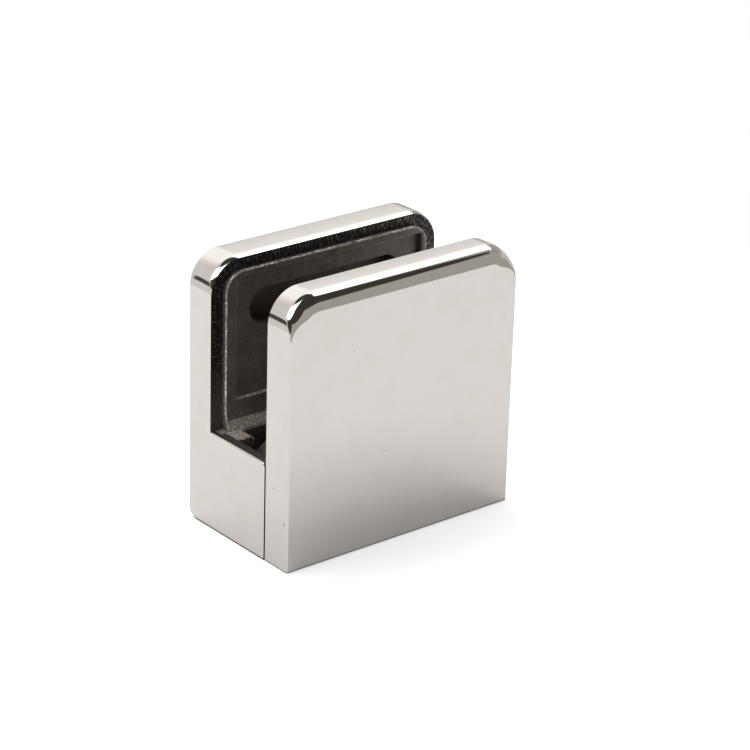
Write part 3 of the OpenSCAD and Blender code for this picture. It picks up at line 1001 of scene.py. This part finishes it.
def lug_finish(c, n):
    """Finish of the lugs and of the end walls' tops beside them."""
    if abs(c.x) > HALF_W - WALL_T - TOUCH:
        return GROUND
    front_y = WEB_Y - LUG_W
    # the lug's front rim gets painted highlight specks, and faces that look up get the painted-lit ledge skin
    if front_y < c.y < front_y + LUG_RIM_R and n.z > 0.05:
        return EDGE_HIGHLIGHT
    return LEDGE if n.z > 0.7 else CAST


def seat_finish(c, n, outward):
    """Finish of a pad seat and of all that lies deeper: its rim and the edges of its recess get painted
    highlight specks.
    """
    in_rim = inside_by(c.x, c.z, SEAT_W / 2, SEAT_TOP_Z, SEAT_CORNER_R) < SEAT_RIM_R
    in_lead = SEAT_RISE - LEAD - TOUCH < outward < SEAT_RISE - SEAT_FLAT
    if in_lead and (in_rim or 0.5 < abs(n.y) < 0.9):
        return EDGE_HIGHLIGHT
    in_slot_lead = SEAT_RISE - SLOT_LEAD_DEPTH - TOUCH < outward < SEAT_RISE - LEAD
    return EDGE_HIGHLIGHT if in_slot_lead and 0.25 < abs(n.y) < 0.5 else CAST


def finish_of(c, n, near_y, sign):
    """Finish of a casting's face from its centre c and normal n. near_y is the plate's inner face and sign
    the way out of it, towards the glass: 1 for the cover and -1 for the rear body."""
    outward = (c.y - near_y) * sign
    on_side = abs(c.x) > HALF_W - WALL_RIM_R - TOUCH
    # the sides and their small roundings, which look out along X and not along the parting
    if on_side and abs(n.x) > 0.02 and n.y > -0.7:
        return POLISHED
    if outward < -TOUCH and c.z > BARE_FOOT:
        near_edge = inside_by(c.x, c.z, HALF_W, TOP_Z, CORNER_R) < POLISH_IN
        return POLISHED if near_edge or -outward > COVER_T - COVER_EDGE_R else CAST
    if abs(outward) <= TOUCH:
        return GROUND
    if sign < 0 and BASE_H - LIP_R < c.z < LEDGE_TOP_Z and c.y > WEB_Y - TOUCH:
        return ledge_finish(c, n)
    if sign < 0 and BASE_H - LUG_T - TOUCH < c.z < BASE_H + TOUCH:
        return lug_finish(c, n)
    return seat_finish(c, n, outward)


def finish_casting(piece, materials, near_y, sign):
    piece.data.materials.clear()
    for material in materials:
        piece.data.materials.append(material)
    for face in piece.data.polygons:
        face.material_index = finish_of(face.center, face.normal, near_y, sign)


# ---------- assembly ----------

def build_clamp():
    """The four pieces in their finishes, each in place of its solid and on its own body."""
    cover, rear = build_cover(), build_rear()
    castings = [polished_steel(), cast_steel(), ground_steel(), edge_highlight_steel(), lit_ledge_steel()]
    finish_casting(cover, castings, COVER_BACK_Y, 1)
    finish_casting(rear, castings, PLATE_Y, -1)
    screws = [build_screw("left_clamp_screw", -SCREW_X), build_screw("right_clamp_screw", SCREW_X)]
    bare = screw_steel()
    for screw in screws:
        screw.data.materials.clear()
        screw.data.materials.append(bare)
    for piece, node, body, slot in ((cover, "front_cover", "cover", "polished_cover"),
                                    (rear, "rear_body", "rear", "polished_casting"),
                                    (screws[0], "clamp_screw_left", "left_screw", "screw_steel"),
                                    (screws[1], "clamp_screw_right", "right_screw", "screw_steel")):
        piece.data.shade_smooth()
        piece.data.set_sharp_from_angle(angle=math.radians(32))
        piece.modifiers.new("weighted", "WEIGHTED_NORMAL").keep_sharp = True
        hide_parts(node)
        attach(piece, body)


aim_camera()
build_clamp()
build_world()
build_floor()
build_lamps()
bpy.context.scene.view_settings.view_transform = "Standard"
